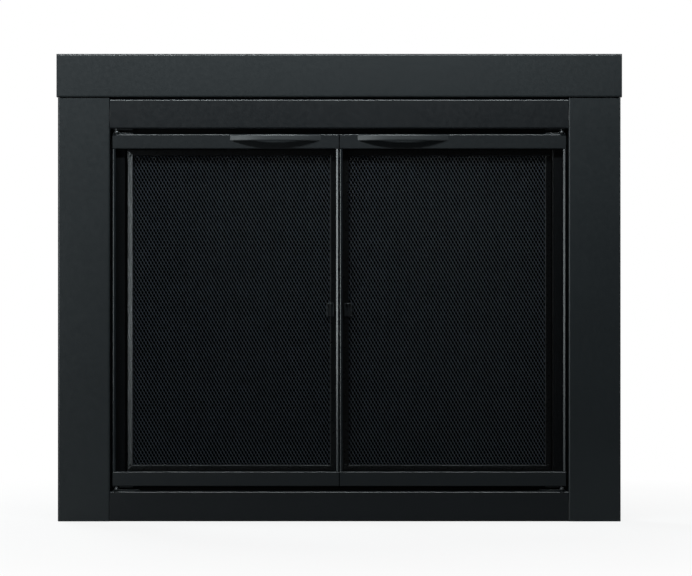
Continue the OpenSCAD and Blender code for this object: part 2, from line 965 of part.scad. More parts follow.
module right_lintel_bracket() {
    z0 = throat_z1 + angle_t;
    color(frame_black)
        difference() {
            union() {
                box(bracket_x0, bracket_x1, seat_y + angle_t, wall_y, z0, z0 + bracket_t);
                box(bracket_x0, bracket_x1, wall_y - bracket_t, wall_y, z0, shelf_z);
                box(bracket_x0, bracket_x1, wall_y - bracket_t, bracket_d,
                    shelf_z - bracket_t, shelf_z);
            }
            rod_z(bracket_x, bracket_hole_y, shelf_z - bracket_t - 1, shelf_z + 1, jack_r + pin_fit);
        }
}

module left_lintel_bracket() {
    left() right_lintel_bracket();
}

pad_r = 14;
pad_t = 4;
wing_h = 11;
wing_gap = 1.5;
wing_z1 = shelf_z - bracket_t - jack_travel - wing_gap;
jack_rise = 15;
jack_top_z = shelf_z + jack_rise;

module right_jack_screw() {
    hub_r = 7;
    wing_l = 34;
    wing_t = 3;
    color(bright_steel) {
        rod_z(bracket_x, bracket_hole_y, wing_z1 - wing_h, jack_top_z, jack_r);
        rod_z(bracket_x, bracket_hole_y, wing_z1 - wing_h, wing_z1, hub_r);
        box(
            bracket_x - wing_l / 2, bracket_x + wing_l / 2,
            bracket_hole_y - wing_t / 2, bracket_hole_y + wing_t / 2,
            wing_z1 - wing_h, wing_z1 - 1
        );
    }
}

module right_jack_pad() {
    color(frame_black)
        rod_z(bracket_x, bracket_hole_y, jack_top_z, jack_top_z + pad_t, pad_r);
}

module left_jack_screw() {
    left() right_jack_screw();
}

module left_jack_pad() {
    left() right_jack_pad();
}

header_panel();
left_side_panel();
right_side_panel();
inner_header();
bottom_panel();
header_tie_plate();
frame_screws();
inner_frame_top();
inner_frame_bottom();
inner_frame_left();
inner_frame_right();
left_top_hinge_strap();
left_bottom_hinge_strap();
right_top_hinge_strap();
right_bottom_hinge_strap();
hinge_pins();
hinge_balls();
mesh_door_pins();
glass_door_magnets();
mesh_door_magnets();
left_hearth_bracket();
right_hearth_bracket();
left_lintel_bracket();
right_lintel_bracket();
left_jack_screw();
left_jack_pad();
right_jack_screw();
right_jack_pad();
left_glass();
left_top_rail();
left_bottom_rail();
left_outer_stile();
left_meeting_stile();
left_handle();
left_handle_screws();
left_glass_gasket();
left_hinge_leaves();
right_glass();
right_top_rail();
right_bottom_rail();
right_outer_stile();
right_meeting_stile();
right_handle();
right_handle_screws();
right_glass_gasket();
right_hinge_leaves();
left_mesh();
left_mesh_top_rail();
left_mesh_bottom_rail();
left_mesh_outer_stile();
left_mesh_meeting_stile();
left_mesh_pull();
left_mesh_rivets();
right_mesh();
right_mesh_top_rail();
right_mesh_bottom_rail();
right_mesh_outer_stile();
right_mesh_meeting_stile();
right_mesh_pull();
right_mesh_rivets();
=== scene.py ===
"""Looks of a cabinet-style fireplace door: a black powder-coated surround, two glass
doors with bowed handles, and two framed woven-mesh doors behind them.

Lengths are metres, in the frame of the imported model: X right, -Y towards the room, Z up."""

import json
import math

import bmesh
import bpy
import numpy as np
from bpy.props import FloatProperty, FloatVectorProperty, IntProperty, PointerProperty
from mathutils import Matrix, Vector


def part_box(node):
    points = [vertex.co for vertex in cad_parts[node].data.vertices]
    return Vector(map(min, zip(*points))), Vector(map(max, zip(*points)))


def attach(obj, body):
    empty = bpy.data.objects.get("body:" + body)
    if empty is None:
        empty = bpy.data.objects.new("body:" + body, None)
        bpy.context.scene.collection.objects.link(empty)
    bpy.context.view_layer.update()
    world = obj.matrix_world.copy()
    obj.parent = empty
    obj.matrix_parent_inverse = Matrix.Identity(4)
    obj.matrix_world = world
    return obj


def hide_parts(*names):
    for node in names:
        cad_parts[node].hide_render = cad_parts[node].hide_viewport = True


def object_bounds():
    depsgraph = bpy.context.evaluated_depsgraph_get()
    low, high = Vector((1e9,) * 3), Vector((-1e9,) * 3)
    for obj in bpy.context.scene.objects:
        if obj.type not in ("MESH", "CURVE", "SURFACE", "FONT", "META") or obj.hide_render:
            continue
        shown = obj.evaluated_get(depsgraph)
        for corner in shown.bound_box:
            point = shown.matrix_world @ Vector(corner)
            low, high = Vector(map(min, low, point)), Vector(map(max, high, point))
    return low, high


bl_info = {
    "name": "Fireplace Glass Door",
    "version": (1, 0, 0),
    "blender": (4, 5, 0),
    "location": "3D View > Sidebar > Fireplace",
    "description": "Dresses a cabinet-style fireplace glass door: finishes, handles, woven mesh",
    "category": "Object",
}

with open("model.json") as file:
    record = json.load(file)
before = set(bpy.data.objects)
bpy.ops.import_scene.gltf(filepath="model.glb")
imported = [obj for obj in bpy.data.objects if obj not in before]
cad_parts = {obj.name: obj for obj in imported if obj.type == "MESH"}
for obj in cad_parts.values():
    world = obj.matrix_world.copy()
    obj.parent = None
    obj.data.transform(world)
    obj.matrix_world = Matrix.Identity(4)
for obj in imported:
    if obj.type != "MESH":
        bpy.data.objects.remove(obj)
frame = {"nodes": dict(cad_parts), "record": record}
CAD_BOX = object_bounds()
SIDES = ("left", "right")
MM = 0.001
MERGE = 1e-6


# ---------------------------------------------------------------------------
# Sizes and colours


def colour(name, description, default):
    return FloatVectorProperty(
        name=name, description=description, default=default, size=3, min=0.0, max=1.0,
        subtype="COLOR",
    )


def number(name, description, default, **more):
    return FloatProperty(name=name, description=description, default=default, **more)


def length(name, description, default, low, high):
    return number(
        name, description, default, min=low, max=high, subtype="DISTANCE", unit="LENGTH",
        precision=5,
    )


def power(name, description, default):
    return number(name, description, default, unit="POWER")


class FIREDOOR_PG_finish(bpy.types.PropertyGroup):
    """Colours and gloss of the finishes."""

    coat: colour("Outer coat", "Satin black of the header and sides", (0.0178, 0.0220, 0.0246))
    # The trim coat is painted shade: a darker black for the recessed inner header and bottom panel.
    trim_shade_coat: colour("Trim coat", "Inner header and bottom panel", (0.0062, 0.0082, 0.0104))
    # The handle coat is the doors' black lightened as painted highlight on the bowed faces.
    handle_highlight_coat: colour("Handle coat", "Satin black of the handles", (0.0370, 0.0410, 0.0440))
    door_coat: colour("Door coat", "The glass doors' rails and stiles", (0.0102, 0.0130, 0.0152))
    inner_paint: colour("Inner paint", "Matt black of the inner frame", (0.0015, 0.0018, 0.0024))
    mesh_paint: colour("Mesh paint", "The mesh doors' gloss frames", (0.0013, 0.0015, 0.0019))
    # The pull paint is the frames' black lightened as painted highlight on the caps and ribs.
    pull_paint: colour("Pull paint", "The mesh doors' satin pulls", (0.0200, 0.0220, 0.0240))
    wire_paint: colour("Wire paint", "Black of the woven wire", (0.0285, 0.0345, 0.0450))
    plastic: colour("Plastic", "Moulded black of the magnets' housings", (0.020, 0.020, 0.020))
    zinc: colour("Zinc", "Plated screws", (0.62, 0.62, 0.60))
    pivot_steel: colour("Pivot steel", "Blackened pins and domed spacers", (0.15, 0.155, 0.16))
    coat_roughness: number(
        "Coat roughness", "Roughness of the powder coat", 0.33, min=0.0, max=1.0, subtype="FACTOR"
    )
    coat_bump: length("Coat bump", "Height of the orange peel", 0.000012, 0.0, 0.001)


class FIREDOOR_PG_mesh(bpy.types.PropertyGroup):
    """The woven wire of the mesh doors and their frames."""

    wire: length("Wire", "Diameter of the wire", 0.00105, 0.0004, 0.003)
    pitch_x: length("Pitch across", "Width of one diamond", 0.00566, 0.002, 0.03)
    pitch_z: length("Pitch up", "Height of one diamond", 0.01006, 0.003, 0.05)
    edge_radius: length("Edge radius", "Rounding of the rolled frame", 0.0012, 0.0002, 0.003)
    stile_slope: length("Stile slope", "How far the outer stile falls back", 0.0023, 0.0, 0.0025)


class FIREDOOR_PG_handle(bpy.types.PropertyGroup):
    """The glass doors' stiles and bowed handles."""

    stile_slope: length("Stile slope", "How far a stile falls back inwards", 0.0013, 0.0, 0.0025)
    edge_radius: length("Edge radius", "Depth of the bow's rounding", 0.0014, 0.0002, 0.0015)
    edge_stretch: number("Edge stretch", "How much taller than deep that rounding is", 1.7)
    stations: IntProperty(
        name="Stations", description="Sections along the bow", default=97, min=9, max=300
    )


class FIREDOOR_PG_stage(bpy.types.PropertyGroup):
    """Camera, lamps and floor."""

    camera_distance: length("Camera distance", "From the camera to the front", 5.0, 1.0, 20.0)
    pixel: length("Pixel", "One picture element on the front", 0.0016853, 0.0001, 0.01)
    object_x: number("Object column", "Picture column of the middle", 339.25)
    hearth_row: number("Hearth row", "Picture row of the lower edge", 521.45)
    floor: colour("Floor", "Colour of the floor", (0.96, 0.96, 0.96))
    floor_radius: length("Floor radius", "Where the floor has faded out", 1.3, 0.5, 20.0)
    # Painted shade: the colour of a dark card standing for the shade behind the doors.
    firebox: colour("Firebox", "The dark space behind the doors", (0.0008, 0.0008, 0.0010))
    lamp_tint: colour("Lamp tint", "Colour of the lamps", (0.91, 0.985, 1.0))
    crest_power: power("Crest", "Long lamp over the header", 0.4)
    key_power: power("Key", "Long lamp high in front", 31.0)
    side_power: power("Side", "Lamp on the left, by the camera", 5.6)
    edge_power: power("Edge", "Tall lamp close on the left", 4.5)
    back_power: power("Back", "Broad lamp behind", 26.0)
    right_power: power("Right", "Broad lamp on the right", 9.0)
    room_light: number("Room", "Strength of the plain light all round", 0.02)


def settings(group):
    return getattr(bpy.context.scene, "firedoor_" + group)


# ---------------------------------------------------------------------------
# Meshes from arrays


def grid(x, y, z):
    """Points from three coordinates, stretched to one shape."""
    return np.stack(np.broadcast_arrays(x, y, z), -1)


def mesh_object(name, verts, quads, smooth=True):
    """An object at the origin from a vertex array and an array of quads."""
    mesh = bpy.data.meshes.new(name)
    verts = np.ascontiguousarray(verts, np.float32).reshape(-1, 3)
    quads = np.ascontiguousarray(quads, np.int32).reshape(-1, 4)
    mesh.vertices.add(len(verts))
    mesh.vertices.foreach_set("co", verts.ravel())
    mesh.loops.add(quads.size)
    mesh.loops.foreach_set("vertex_index", quads.ravel())
    mesh.polygons.add(len(quads))
    mesh.polygons.foreach_set("loop_start", np.arange(0, quads.size, 4, dtype=np.int32))
    mesh.polygons.foreach_set("use_smooth", np.full(len(quads), smooth))
    mesh.update(calc_edges=True)
    mesh.validate()
    return linked(name, mesh)


def linked(name, data):
    """An object of that name for a mesh, lamp or camera, in the scene."""
    obj = bpy.data.objects.new(name, data)
    bpy.context.scene.collection.objects.link(obj)
    return obj


def tube_quads(stations, around, tubes=1, caps=True):
    """Quads of tubes whose vertices are numbered tube, station, then position around.

    A wall quad joins (station, k), (station, k + 1), (station + 1, k + 1), (station + 1, k).
    A cap is a fan of quads across the end ring, from k and its mirror to the next pair."""
    base = (np.arange(tubes) * stations * around)[:, None]
    ring = np.arange(stations - 1)[:, None] * around
    k = np.arange(around)[None, :]
    after = (k + 1) % around
    wall = np.stack([ring + k, ring + after, ring + around + after, ring + around + k], -1)
    quads = [wall.reshape(-1, 4)]
    if caps:
        m = np.arange(around // 2 - 1)
        strip = np.stack([m, around - 1 - m, around - 2 - m, m + 1], -1)
        quads.append(strip)
        quads.append(strip[:, ::-1] + (stations - 1) * around)
    every = np.concatenate(quads)
    return (every[None] + base[..., None]).reshape(-1, 4)


def rounded_rect(width, height, radius):
    """Closed loop of a rectangle with quarter-circle corners, counterclockwise about its centre.

    Each corner is centre + radius * (cos a, sin a), with a running over its own quarter turn."""
    steps, quarter = 4, math.pi / 2
    x, y = width / 2 - radius, height / 2 - radius
    corners = np.array([(x, y), (-x, y), (-x, -y), (x, -y)])
    a = np.linspace(0, quarter, steps + 1) + np.arange(4)[:, None] * quarter
    return (corners[:, None] + radius * np.stack([np.cos(a), np.sin(a)], -1)).reshape(-1, 2)


def bar(name, points):
    """A closed bar from an array of rings: station, position around, coordinate."""
    return crisp(outward(mesh_object(name, points, tube_quads(*points.shape[:2]))))


def turned(name, centres, radii, heights, axis=2):
    """Turned shapes, one round each centre.

    radii has a row for each station and a column for each turn a. A point stands
    r * (cos a, sin a) across the axis and h along it. The end rings are small and closed."""
    stations, around = radii.shape
    a = np.linspace(0, 2 * math.pi, around, endpoint=False)
    shape = np.empty((stations, around, 3))
    across, up = [k for k in range(3) if k != axis]
    shape[..., across] = radii * np.cos(a)
    shape[..., up] = radii * np.sin(a)
    shape[..., axis] = np.asarray(heights)[:, None]
    points = np.asarray(centres)[:, None, None, :] + shape
    return outward(mesh_object(name, points, tube_quads(stations, around, tubes=len(points))))


def lathe(name, centres, profile, around, axis=2):
    """Round turned shapes from one profile of radius and height."""
    radii = np.repeat(profile[:, :1], around, axis=1)
    return turned(name, centres, radii, profile[:, 1], axis)


def thread(radius, length, pitch, depth, around):
    """Radii and heights of a screw thread that ends in a short taper.

    The radius falls by depth times |2 p - 1|, where p is the part of h / pitch - a / (2 pi)
    after the point."""
    steps_a_turn, taper_turns, tip_share = 6, 1.2, 0.35
    h = np.linspace(0, length, int(round(steps_a_turn * length / pitch)) + 1)
    a = np.arange(around) / around
    phase = (h[:, None] / pitch - a[None, :]) % 1
    taper = np.clip((length - h) / (taper_turns * pitch), tip_share, 1)[:, None]
    return (radius - depth * np.abs(2 * phase - 1)) * taper, h


def block(name, low, high, corner, edge):
    """A block with rounded corners and edges: rounded rectangles along y, drawn in by
    e * (1 - sin t) over the last e of its length at e * (1 - cos t)."""
    turns = np.linspace(0, math.pi / 2, 4)
    inset = edge * (1 - np.sin(turns))
    depth = edge * (1 - np.cos(turns))
    inset = np.concatenate([inset, inset[::-1]])
    y = np.concatenate([low[1] + depth, high[1] - depth[::-1]])
    wide, tall = high[0] - low[0], high[2] - low[2]
    rings = np.stack([rounded_rect(wide - 2 * i, tall - 2 * i, corner - i) for i in inset])
    x, z = (low[0] + high[0]) / 2 + rings[..., 0], (low[2] + high[2]) / 2 + rings[..., 1]
    return bar(name, grid(x, y[:, None], z))


def closed_sheet(name, x, front, back, z):
    """A closed shell from a front and a back at the same x and z, joined along their rims."""
    points = np.stack([grid(x, front, z), grid(x, back, z)])
    rows, cols = points.shape[1:3]
    n = rows * cols
    index = np.arange(n).reshape(rows, cols)
    face = np.stack([index[:-1, :-1], index[:-1, 1:], index[1:, 1:], index[1:, :-1]], -1)
    face = face.reshape(-1, 4)
    rim = np.concatenate([index[0], index[1:, -1], index[-1, -2::-1], index[-2:0:-1, 0]])
    after = np.roll(rim, -1)
    walls = np.stack([rim, after, after + n, rim + n], -1)
    quads = np.concatenate([face, face[:, ::-1] + n, walls])
    return outward(mesh_object(name, points, quads))


def outward(obj):
    """Recalculates the normals of a closed piece so that its faces point outwards."""
    bm = bmesh.new()
    bm.from_mesh(obj.data)
    bmesh.ops.recalc_face_normals(bm, faces=bm.faces)
    bm.to_mesh(obj.data)
    bm.free()
    return obj


def crisp(obj, degrees=40.0):
    """Marks edges steeper than that as sharp and weights the normals by face area, so that
    flats stay flat beside smooth rounds."""
    obj.data.set_sharp_from_angle(angle=math.radians(degrees))
    weighted = obj.modifiers.new("flats", "WEIGHTED_NORMAL")
    weighted.keep_sharp = True
    return obj


def merged(node):
    """A bmesh copy of a CAD node's mesh with its doubled vertices joined."""
    bm = bmesh.new()
    bm.from_mesh(frame["nodes"][node].data)
    bmesh.ops.remove_doubles(bm, verts=bm.verts, dist=MERGE)
    return bm


def shells(node):
    """The low and high corner of each separate solid of a CAD node, from left to right."""
    bm = merged(node)
    waiting, boxes = set(bm.verts), []
    while waiting:
        ends, points = [waiting.pop()], []
        while ends:
            vert = ends.pop()
            points.append(tuple(vert.co))
            near = {edge.other_vert(vert) for edge in vert.link_edges} & waiting
            waiting -= near
            ends.extend(near)
        boxes.append((Vector(np.min(points, axis=0)), Vector(np.max(points, axis=0))))
    bm.free()
    return sorted(boxes, key=lambda box: tuple(round(c, 5) for c in box[0]))


def centre(box, **given):
    """The centre of a box, with any coordinate that is given in its place."""
    point = (box[0] + box[1]) / 2
    for axis, value in given.items():
        setattr(point, axis, value)
    return point


def place(obj, body, slot, node, dress=None):
    """Rides obj on a body, gives it its slot's finish or another, and lets it stand for a
    CAD node."""
    obj.data.materials.clear()
    obj.data.materials.append(finish(dress or slot))
    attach(obj, body)
    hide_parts(node)


# ---------------------------------------------------------------------------
# Finishes


def fill(node, values):
    """Sets sockets by name. An underscore stands for a space."""
    for key, value in values.items():
        node.inputs[key.replace("_", " ")].default_value = value


class Nodes:
    """A node tree and the ways to add to it."""

    def __init__(self, tree):
        self.tree = tree
        self.link = tree.links.new

    def node(self, kind, operation=None, **values):
        """A new node with its operation and the given values on its sockets."""
        made = self.tree.nodes.new(kind)
        if operation:
            made.operation = operation
        fill(made, values)
        return made

    def maths(self, operation, first, second):
        made = self.node("ShaderNodeMath", operation)
        self.link(first, made.inputs[0])
        self.link(second, made.inputs[1])
        return made.outputs[0]

    def spread(self, value, low, high, start=0.3, end=0.7):
        """value mapped from start..end to low..high, clamped."""
        ramp = self.node(
            "ShaderNodeMapRange", From_Min=start, From_Max=end, To_Min=low, To_Max=high
        )
        self.link(value, ramp.inputs["Value"])
        return ramp.outputs["Result"]

    def seen_ray(self):
        """An output that is 1 for what the camera sees, also through glass, and 0 otherwise."""
        path = self.node("ShaderNodeLightPath").outputs
        return self.maths("MAXIMUM", path["Is Camera Ray"], path["Is Transmission Ray"])


class Finish(Nodes):
    """A material under construction, with its Principled shader and object coordinates."""

    def __init__(self, name):
        self.material = bpy.data.materials.new(name)
        self.material.use_nodes = True
        super().__init__(self.material.node_tree)
        self.shader = self.tree.nodes["Principled BSDF"]
        self.coords = self.node("ShaderNodeTexCoord").outputs["Object"]

    def set(self, **values):
        fill(self.shader, values)

    def noise(self, scale, detail=2.0, roughness=0.5):
        tex = self.node("ShaderNodeTexNoise", Scale=scale, Detail=detail, Roughness=roughness)
        self.link(self.coords, tex.inputs["Vector"])
        return tex.outputs["Fac"]

    def tint(self, factor, dark, light):
        """A colour between dark and light by factor, on the shader's base colour."""
        mix = self.node("ShaderNodeMix")
        mix.data_type = "RGBA"
        mix.inputs[6].default_value = (*dark, 1.0)
        mix.inputs[7].default_value = (*light, 1.0)
        self.link(factor, mix.inputs["Factor"])
        self.link(mix.outputs[2], self.shader.inputs["Base Color"])

    def roughen(self, grain, *span):
        """A roughness that follows the grain over a span."""
        self.link(self.spread(grain, *span), self.shader.inputs["Roughness"])

    def bump(self, height, distance):
        made = self.node("ShaderNodeBump", Strength=1.0, Distance=distance)
        self.link(height, made.inputs["Height"])
        self.link(made.outputs["Normal"], self.shader.inputs["Normal"])

    def mixed(self, factor, first, second):
        """Shows the first shader where factor is 0 and the second where it is 1."""
        mix = self.node("ShaderNodeMixShader")
        self.link(factor, mix.inputs[0])
        self.link(first.outputs[0], mix.inputs[1])
        self.link(second.outputs[0], mix.inputs[2])
        self.link(mix.outputs[0], self.tree.nodes["Material Output"].inputs["Surface"])


def scaled(rgb, factor):
    return tuple(min(1.0, c * factor) for c in rgb)


# Noise of a film's clouds of tone, of the grain in its gloss and of its bump, each as scale,
# detail and roughness. After the clouds come their dark and light shares of the colour, and
# after the grain its least and most addition to the roughness.
GRAINS = {
    "powder": ((7.0, 3.0), (0.94, 1.06), (160.0, 3.0), (-0.02, 0.02), (1250.0, 2.0, 0.6)),
    "matt": ((30.0, 4.0), (0.75, 1.35), (220.0,), (-0.08, 0.08), (2200.0, 3.0, 0.7)),
    "gloss": ((40.0, 3.0), (0.85, 1.2), (300.0,), (-0.02, 0.02), (700.0, 1.0)),
    "plated": ((90.0, 3.0), (0.8, 1.0), (400.0, 4.0), (-0.08, 0.1), (3000.0, 1.0)),
    "moulded": ((50.0,), (0.7, 1.2), (500.0,), (-0.06, 0.06), (3500.0,)),
}


def grained(name, kind, rgb, roughness, height, specular=0.5):
    """A film or metal with clouds of tone, grain in its gloss and a fine bump.

    Powder coat has an orange peel about 0.8 mm wide. Matt paint is dry and finely grained, and
    gloss paint is smooth. Plated steel is cloudy and bright, and moulded plastic is eroded."""
    cloud, (dark, light), grain, (least, most), peel = GRAINS[kind]
    f = Finish(name)
    f.set(Specular_IOR_Level=specular, Metallic=float(kind == "plated"))
    f.tint(f.spread(f.noise(*cloud), 0.0, 1.0), scaled(rgb, dark), scaled(rgb, light))
    f.roughen(f.noise(*grain), roughness + least, roughness + most)
    f.bump(f.noise(*peel), height)
    return f.material


def wire_paint(name):
    """Black paint on woven wire, greyer in patches. The strands in front of the middle plane of the
    weave are painted lighter as painted highlight, and those behind it darker as painted shade."""
    rgb, wire = settings("finish").wire_paint, settings("mesh").wire
    middle = centre(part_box("left_mesh")).y
    # Shares of the colour: painted shade on the back strands, painted highlight on the front ones.
    painted_shade_behind, painted_highlight_front = 0.08, 2.5
    f = Finish(name)
    split = f.node("ShaderNodeSeparateXYZ")
    f.link(f.coords, split.inputs[0])
    front = f.spread(split.outputs["Y"], 1.0, 0.0, middle - 0.7 * wire, middle - 0.1 * wire)
    patches = f.spread(f.noise(60.0, 4.0), 0.75, 1.0)
    f.tint(f.maths("MULTIPLY", front, patches), scaled(rgb, painted_shade_behind), scaled(rgb, painted_highlight_front))
    f.roughen(f.noise(300.0), 0.45, 0.55)
    f.set(Specular_IOR_Level=0.3)
    return f.material


def gasket_tape(name):
    """Black glass-fibre tape with a coarse, dull grain of small cells."""
    f = Finish(name)
    f.tint(f.spread(f.noise(400.0, 4.0), 0.0, 1.0), (0.010, 0.010, 0.010), (0.035, 0.035, 0.034))
    f.set(Roughness=0.95)
    cells = f.node("ShaderNodeTexVoronoi", Scale=900.0)
    f.link(f.coords, cells.inputs["Vector"])
    f.bump(cells.outputs["Distance"], 0.4 * MM)
    return f.material


def tempered_glass(name):
    """Clear tempered glass: faint smudges vary its gloss. Light that falls on what is behind
    it, or comes back from there, passes straight through."""
    rgba = (0.945, 0.958, 0.965, 1.0)
    f = Finish(name)
    f.set(Base_Color=rgba, Transmission_Weight=1.0, IOR=1.45)
    f.roughen(f.noise(9.0, 5.0), 0.0, 0.03, 0.4, 0.8)
    f.mixed(f.seen_ray(), f.node("ShaderNodeBsdfTransparent", Color=rgba), f.shader)
    return f.material


FINISHES = {}
SPECIAL = {
    "woven_mesh": wire_paint,
    "clear_glass": tempered_glass,
    "gasket_tape": gasket_tape,
}
# The recessed trim, which gets the darker coat of painted shade.
SHADED_TRIM = ("inner_header", "bottom_panel")
SLOTS = {part["node"]: part["material_slot"] for part in frame["record"]["subparts"]}


def new_finish(name):
    """A special finish, or a grained one by kind, colour, roughness, bump and specular level."""
    if name in SPECIAL:
        return SPECIAL[name](name)
    s = settings("finish")
    rough, peel = s.coat_roughness, s.coat_bump
    coats = {
        "panel_powder_coat": ("powder", s.coat, rough, peel, 0.85),
        # The trim's coat is darker as painted shade.
        "trim_powder_coat": ("powder", s.trim_shade_coat, rough, peel, 0.85),
        "door_powder_coat": ("powder", s.door_coat, rough, peel, 0.85),
        # The pulls' paint is lighter than the frames' as painted highlight.
        "pull_paint": ("powder", s.pull_paint, rough, peel, 0.85),
        # The handles' coat is lighter than the doors' as painted highlight.
        "handle_powder_coat": ("powder", s.handle_highlight_coat, rough + 0.06, peel, 0.9),
        # The stiles' coat is the door coat lightened 1.4 times as painted highlight; its gloss is
        # its own.
        "stile_powder_coat": ("powder", scaled(s.door_coat, 1.4), rough - 0.08, peel / 3, 1.0),
        "frame_paint": ("matt", s.inner_paint, 0.6, 0.05 * MM, 0.12),
        "mesh_frame_paint": ("gloss", s.mesh_paint, 0.29, 0.003 * MM, 0.7),
        "magnet_housing": ("moulded", s.plastic, 0.56, 0.04 * MM),
        "zinc_steel": ("plated", s.zinc, 0.3, 0.01 * MM),
        "pivot_steel": ("plated", s.pivot_steel, 0.5, 0.01 * MM),
    }
    return grained(name, *coats[name])


def finish(name):
    """The material of that finish, made once."""
    if name not in FINISHES:
        FINISHES[name] = new_finish(name)
    return FINISHES[name]


def dress_of(node):
    """A CAD node's finish by name: its slot's, but for the opening's trim a darker coat as painted
    shade.
    """
    return "trim_powder_coat" if node in SHADED_TRIM else SLOTS[node]


# ---------------------------------------------------------------------------
# Operators


class FIREDOOR_OT_finish_frame(bpy.types.Operator):
    """Gives every CAD node the finish of its material slot, and the opening's trim a darker coat as
    painted shade
    """

    bl_idname = "firedoor.finish_frame"
    bl_label = "Finish the frame"

    def execute(self, context):
        for node in SLOTS:
            slots = frame["nodes"][node].data.materials
            dress = finish(dress_of(node))
            if not slots:
                slots.append(dress)
            for i in range(len(slots)):
                slots[i] = dress
        return {"FINISHED"}


class FIREDOOR_OT_rolled_edges(bpy.types.Operator):
    """Rounds the bent and cut edges of the sheet metal"""

    bl_idname = "firedoor.rolled_edges"
    bl_label = "Rolled edges"

    def execute(self, context):
        bodies = frame["record"]["behaviour"]["bodies"]
        riders = {node: body for body, nodes in bodies.items() for node in nodes}
        for node, (radius, all_round) in ROLLED.items():
            piece = rolled_copy(node, f"{node}_rolled", radius * MM, all_round)
            place(piece, riders[node], SLOTS[node], node, dress_of(node))
        return {"FINISHED"}


# Node: bend radius in millimetres, and whether every long edge is rounded or the front ones.
ROLLED = {
    "header_panel": (2.5, False),
    "inner_header": (1.4, False),
    "bottom_panel": (1.4, False),
    "header_tie_plate": (0.4, True),
    "inner_frame_top": (0.8, False),
    "inner_frame_bottom": (0.8, False),
}
for _side in SIDES:
    ROLLED[f"{_side}_side_panel"] = (0.4, False)
    ROLLED[f"inner_frame_{_side}"] = (0.8, False)
    ROLLED[f"{_side}_top_rail"] = (1.3, False)
    ROLLED[f"{_side}_bottom_rail"] = (0.6, False)
    for _node in (
        "hearth_bracket", "lintel_bracket", "bottom_hinge_strap", "top_hinge_strap", "hinge_leaves",
    ):
        ROLLED[f"{_side}_{_node}"] = (0.5, True)


def rolled_copy(node, name, radius, all_round):
    """A merged copy of a CAD node whose long square edges are rounded to that radius.

    Flat triangles are joined first. A weighted normal keeps the flats flat beside the rounds."""
    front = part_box(node)[0].y
    flat, square_angle, shortest, same_plane = math.radians(0.5), 1.0, 5 * radius, 0.01 * MM
    bm = merged(node)
    bmesh.ops.dissolve_limit(bm, angle_limit=flat, verts=bm.verts, edges=bm.edges)
    square = [
        edge for edge in bm.edges
        if edge.is_manifold and edge.is_convex
        and edge.calc_face_angle() > square_angle and edge.calc_length() > shortest
        and (all_round or all(abs(v.co.y - front) < same_plane for v in edge.verts))
    ]
    bmesh.ops.bevel(
        bm, geom=square, offset=radius, offset_type="OFFSET", segments=4, profile=0.5,
        affect="EDGES", clamp_overlap=True,
    )
    mesh = bpy.data.meshes.new(name)
    bm.to_mesh(mesh)
    bm.free()
    mesh.polygons.foreach_set("use_smooth", np.ones(len(mesh.polygons), bool))
    return crisp(linked(name, mesh))


class FIREDOOR_OT_stiles(bpy.types.Operator):
    """Draws the glass doors' grooved stiles, whose faces slope towards the glass"""

    bl_idname = "firedoor.stiles"
    bl_label = "Glass door stiles"

    def execute(self, context):
        slope = settings("handle").stile_slope
        play_behind, play_beside = 0.2 * MM, 0.4 * MM
        for side in SIDES:
            glass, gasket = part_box(f"{side}_glass"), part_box(f"{side}_glass_gasket")
            for member in ("outer", "meeting"):
                node = f"{side}_{member}_stile"
                low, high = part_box(node)
                to_right = (side == "left") == (member == "outer")
                edge, inner = (low.x, glass[0].x) if to_right else (high.x, glass[1].x)
                groove = (gasket[0].y - low.y, glass[1].y + play_behind - low.y)
                floor = abs(inner - edge) - play_beside
                loop = grooved_section(high.x - low.x, high.y - low.y, groove, floor, slope)
                x = edge + (loop[:, 0] if to_right else -loop[:, 0])
                points = grid(x, low.y + loop[:, 1], [[low.z], [high.z]])
                stile = bar(f"{node}_drawn", points)
                # The stiles wear a lightened door coat as painted highlight.
                body, dress = f"{side}_glass_door", "stile_powder_coat"
                place(stile, body, "door_powder_coat", node, dress)
        return {"FINISHED"}


def grooved_section(width, depth, groove, floor, slope):
    """Outline of a stile, across from its outer edge and back from its front.

    The outer path runs from the front lip round the outer edge to the back lip, and the inner
    path returns along the groove. Point k of one faces point k of the other, so that a cap can
    join them. The front's corners are quarter circles."""
    r, tip = min(1.5 * MM, 0.8 * groove[0]), 0.4 * MM
    turns = np.linspace(0, math.pi / 2, 4)
    lip = np.stack([width - tip + tip * np.cos(turns), slope + tip - tip * np.sin(turns)], -1)
    corner = np.stack([r - r * np.sin(turns), r - r * np.cos(turns)], -1)
    outer = np.concatenate([lip, corner, [(0.0, depth), (width, depth)]])
    inner = np.empty_like(outer)
    inner[:-1, 0] = np.linspace(width, floor, len(outer) - 1)
    inner[:-1, 1] = groove[0]
    inner[-2:] = [(floor, groove[1]), (width, groove[1])]
    return np.concatenate([outer, inner[::-1]])


class FIREDOOR_OT_woven_mesh(bpy.types.Operator):
    """Weaves the wire of both mesh doors"""

    bl_idname = "firedoor.woven_mesh"
    bl_label = "Woven mesh"

    def execute(self, context):
        s = settings("mesh")
        for side in SIDES:
            node = f"{side}_mesh"
            low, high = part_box(node)
            coils = int(round((high.x - low.x) / (s.pitch_x / 2)))
            for part, which in zip(("first", "second"), np.split(np.arange(coils), [coils // 2])):
                wires = woven_coils(f"{side}_coils_{part}", low, high, s, coils, which)
                place(wires, f"{side}_mesh_door", "woven_mesh", node)
        return {"FINISHED"}


